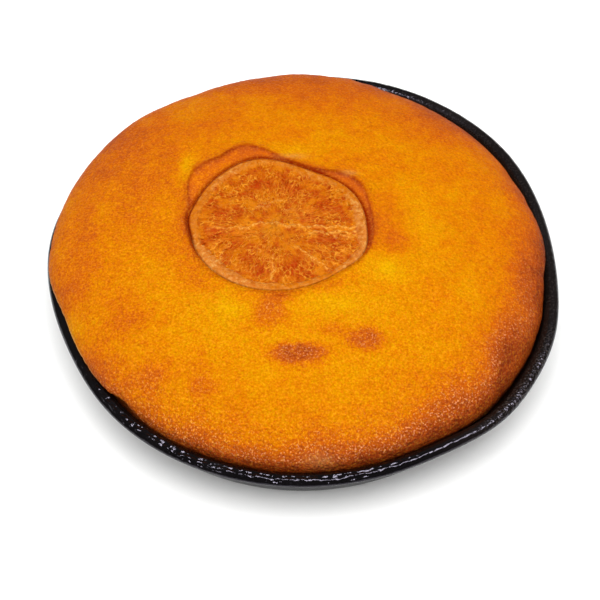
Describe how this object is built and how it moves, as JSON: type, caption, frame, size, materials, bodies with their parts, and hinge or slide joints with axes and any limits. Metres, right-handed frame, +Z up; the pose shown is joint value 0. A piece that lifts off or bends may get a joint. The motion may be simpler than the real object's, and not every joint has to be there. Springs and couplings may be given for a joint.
{
  "type": "orange sponge cake",
  "caption": "Round uncut orange sponge cake risen over its own shallow black tin, with a candied orange slice sunk in its browned domed top.",
  "frame": {"origin": "middle of the tin's outline, on the underside of its floor", "axes": "+Z up, -Y to the front that the picture shows, +X to the right"},
  "size_m": [0.1999, 0.1987, 0.0422],
  "materials": {
    "tin": "thin pressed metal under glossy black lacquer, slightly crinkled at the rim",
    "sponge": "baked sponge crust, orange with browned edges and patches, fine-grained with a faint buttery shine",
    "candied_orange": "candied orange slice, glazed and half translucent, with a paler rind"
  },
  "bodies": {
    "root": {"tin": "tin", "sponge_cake": "sponge", "orange_slice": "candied_orange"}
  },
  "joints": []
}
